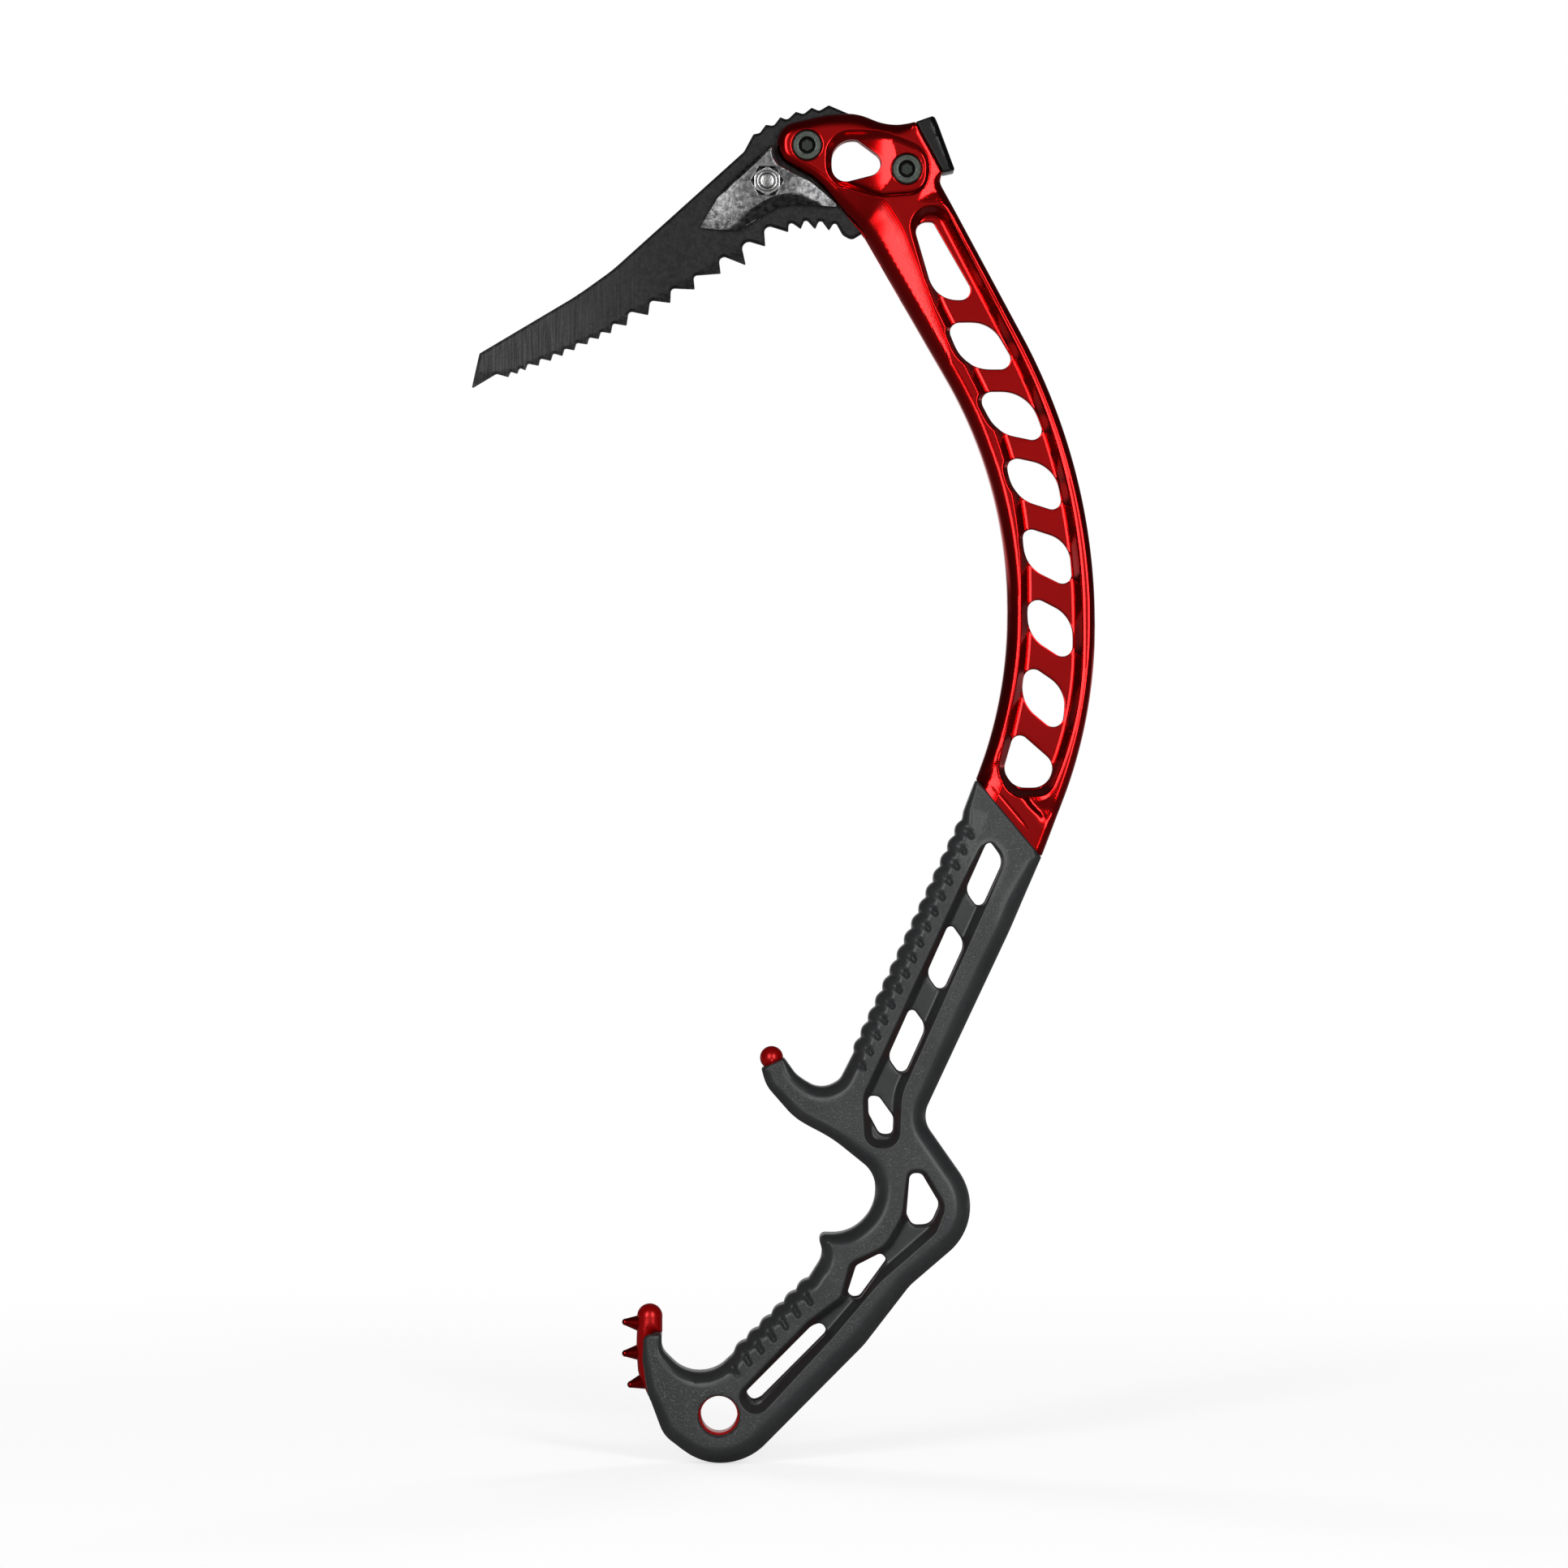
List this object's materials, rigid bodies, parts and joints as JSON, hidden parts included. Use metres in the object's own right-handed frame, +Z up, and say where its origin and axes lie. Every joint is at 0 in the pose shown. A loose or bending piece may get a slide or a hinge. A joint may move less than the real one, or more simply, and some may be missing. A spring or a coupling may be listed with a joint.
{
  "type": "ice climbing tool",
  "caption": "Technical ice axe: toothed pick, slotted head with weights and hammer, curved ladder shaft, moulded double grip with finger rest and spiked pommel.",
  "frame": {"origin": "centre of the clip-in eye in the pommel, on the mid-plane of the tool", "axes": "+Z up along the tool from the pommel to the head, +X from the pick to the hammer, +Y across the tool away from the pictured side"},
  "size_m": [0.2299, 0.026, 0.5011],
  "materials": {
    "anodised_frame": "glossy red anodised",
    "grip_rubber": "fine-grained dark grey rubber",
    "pick_steel": "blackened, ground near the point",
    "cast_weight": "sandblasted cast silver",
    "hammer_steel": "satin black",
    "bolt_steel": "dark zinc plated"
  },
  "bodies": {
    "root": {"frame": "anodised_frame", "grip": "grip_rubber", "pick": "pick_steel", "weight_front": "cast_weight", "weight_back": "cast_weight", "weight_bolt": "bolt_steel", "weight_nut": "bolt_steel", "hammer": "hammer_steel", "pick_bolt": "bolt_steel", "pick_nut": "bolt_steel", "hammer_bolt": "bolt_steel", "hammer_nut": "bolt_steel"}
  },
  "joints": []
}
